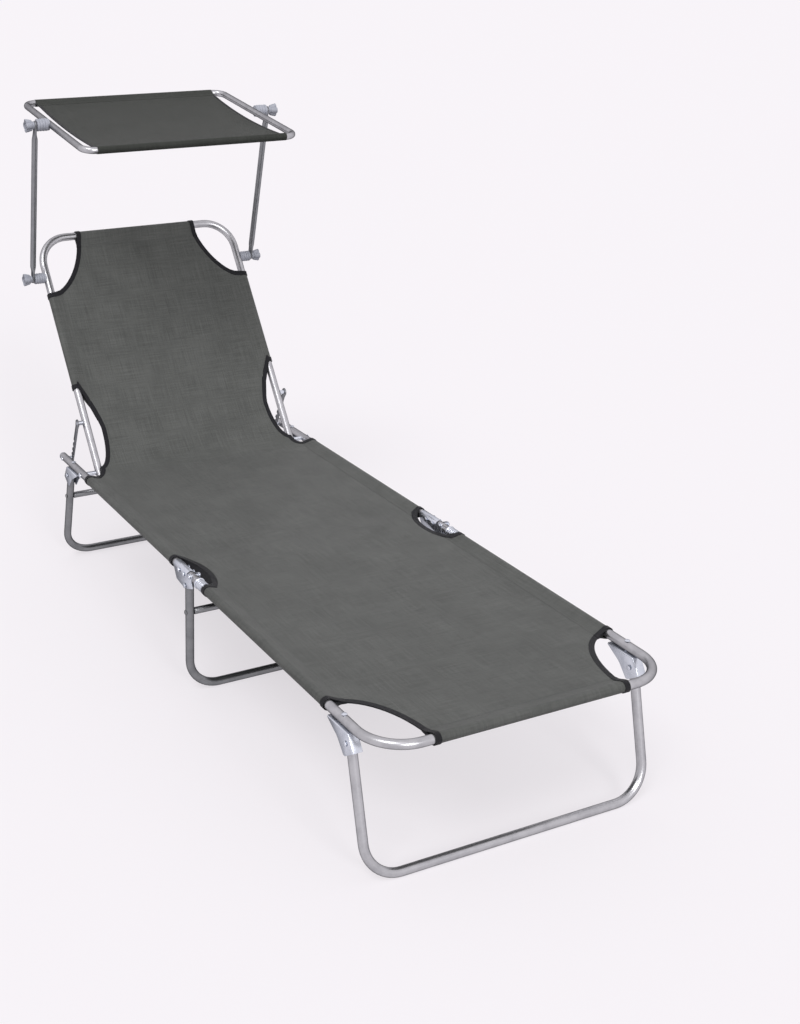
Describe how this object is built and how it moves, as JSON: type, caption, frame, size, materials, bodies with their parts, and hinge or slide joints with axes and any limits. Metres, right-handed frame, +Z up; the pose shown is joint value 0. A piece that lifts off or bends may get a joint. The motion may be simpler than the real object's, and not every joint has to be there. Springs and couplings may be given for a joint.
{
  "type": "folding sun lounger with canopy",
  "caption": "Folding tubular-steel sun lounger: grey woven sling bed, reclining backrest on notched stays, folding legs and an adjustable shade canopy on clamped arms.",
  "frame": {"origin": "centre of the bounding box on the floor, under the middle of the lounger", "axes": "+X to the right of someone lying on it face up who looks along +Y at the head end, +Y from foot to head, +Z up"},
  "size_m": [0.5956, 1.6904, 1.0184],
  "materials": {
    "frame": "silver-grey satin",
    "arm": "grey satin",
    "zinc": "bright zinc",
    "grey_plastic": "light grey, slightly lilac",
    "sling": "woven, mid grey",
    "canopy_cloth": "woven, dark grey"
  },
  "bodies": {
    "seat_frame": {"seat_rail_left": "frame", "seat_rail_right": "frame", "rail_end_cap_left": "grey_plastic", "rail_end_cap_right": "grey_plastic", "mid_hinge_bracket_left": "zinc", "mid_hinge_bracket_right": "zinc", "saddle_rivet_1_left": "zinc", "saddle_rivet_1_right": "zinc", "saddle_rivet_2_left": "zinc", "saddle_rivet_2_right": "zinc", "foot_fold_pin_left": "zinc", "foot_fold_pin_right": "zinc", "backrest_pivot_left": "zinc", "backrest_pivot_right": "zinc", "stay_catch_left": "zinc", "stay_catch_right": "zinc", "rear_leg_bracket_left": "zinc", "rear_leg_bracket_right": "zinc", "rear_bracket_rivet_left": "zinc", "rear_bracket_rivet_right": "zinc", "mid_leg_pin_left": "zinc", "mid_leg_pin_right": "zinc", "rear_leg_pin_left": "zinc", "rear_leg_pin_right": "zinc", "seat_sling": "sling"},
    "foot_section": {"foot_frame": "frame", "foot_sling": "sling", "foot_collar_left": "zinc", "foot_collar_right": "zinc", "front_leg_bracket_left": "zinc", "front_leg_bracket_right": "zinc", "front_bracket_rivet_left": "zinc", "front_bracket_rivet_right": "zinc", "front_leg_pin_left": "zinc", "front_leg_pin_right": "zinc"},
    "front_leg": {"front_leg": "frame"},
    "mid_leg": {"mid_leg": "frame", "mid_leg_crossbar": "frame"},
    "rear_leg": {"rear_leg": "frame", "rear_leg_crossbar": "frame"},
    "backrest": {"backrest_frame": "frame", "back_sling": "sling", "stay_pivot_left": "zinc", "stay_pivot_right": "zinc", "lower_clamp_left": "grey_plastic", "lower_clamp_right": "grey_plastic"},
    "stay_left": {"ratchet_stay_left": "zinc"},
    "stay_right": {"ratchet_stay_right": "zinc"},
    "canopy_arms": {"canopy_arm_left": "arm", "canopy_arm_right": "arm"},
    "canopy": {"canopy_frame": "frame", "canopy_fabric": "canopy_cloth", "upper_clamp_left": "grey_plastic", "upper_clamp_right": "grey_plastic"},
    "lower_knob_left": {"lower_knob_left": "grey_plastic"},
    "upper_knob_left": {"upper_knob_left": "grey_plastic"},
    "lower_knob_right": {"lower_knob_right": "grey_plastic"},
    "upper_knob_right": {"upper_knob_right": "grey_plastic"}
  },
  "joints": [
    {"name": "foot_fold", "type": "hinge", "parent": "seat_frame", "child": "foot_section", "pos_m": [0, -0.14557, 0.267], "axis": [-1, 0, 0], "range_deg": [0, 150]},
    {"name": "front_leg_fold", "type": "hinge", "parent": "foot_section", "child": "front_leg", "pos_m": [0, -0.74693, 0.232], "axis": [1, 0, 0], "range_deg": [0, 107]},
    {"name": "mid_leg_fold", "type": "hinge", "parent": "seat_frame", "child": "mid_leg", "pos_m": [0, -0.12264, 0.239], "axis": [1, 0, 0], "range_deg": [0, 87]},
    {"name": "rear_leg_fold", "type": "hinge", "parent": "seat_frame", "child": "rear_leg", "pos_m": [0, 0.54998, 0.232], "axis": [-1, 0, 0], "range_deg": [0, 109]},
    {"name": "recline", "type": "hinge", "parent": "seat_frame", "child": "backrest", "pos_m": [0, 0.46343, 0.2615], "axis": [-1, 0, 0], "range_deg": [-75, 52.8]},
    {"name": "stay_left_swing", "type": "hinge", "parent": "backrest", "child": "stay_left", "pos_m": [-0.262, 0.53598, 0.35708], "axis": [1, 0, 0], "range_deg": [-40, 30]},
    {"name": "stay_right_swing", "type": "hinge", "parent": "backrest", "child": "stay_right", "pos_m": [0.262, 0.53598, 0.35708], "axis": [1, 0, 0], "range_deg": [-40, 30]},
    {"name": "canopy_arm_swing", "type": "hinge", "parent": "backrest", "child": "canopy_arms", "pos_m": [0, 0.75037, 0.63953], "axis": [1, 0, 0], "range_deg": [-70, 60]},
    {"name": "canopy_tilt", "type": "hinge", "parent": "canopy_arms", "child": "canopy", "pos_m": [0, 0.66157, 0.98789], "axis": [1, 0, 0], "range_deg": [-60, 60]},
    {"name": "lower_knob_left_turn", "type": "hinge", "parent": "backrest", "child": "lower_knob_left", "pos_m": [-0.2863, 0.75037, 0.63953], "axis": [1, 0, 0], "continuous": true},
    {"name": "upper_knob_left_turn", "type": "hinge", "parent": "canopy", "child": "upper_knob_left", "pos_m": [-0.2863, 0.66157, 0.98789], "axis": [1, 0, 0], "continuous": true},
    {"name": "lower_knob_right_turn", "type": "hinge", "parent": "backrest", "child": "lower_knob_right", "pos_m": [0.2863, 0.75037, 0.63953], "axis": [1, 0, 0], "continuous": true},
    {"name": "upper_knob_right_turn", "type": "hinge", "parent": "canopy", "child": "upper_knob_right", "pos_m": [0.2863, 0.66157, 0.98789], "axis": [1, 0, 0], "continuous": true}
  ],
  "couplings": [
    {"joint": "stay_left_swing", "follows": "recline", "ratio": 0.5},
    {"joint": "stay_right_swing", "follows": "recline", "ratio": 0.5}
  ]
}
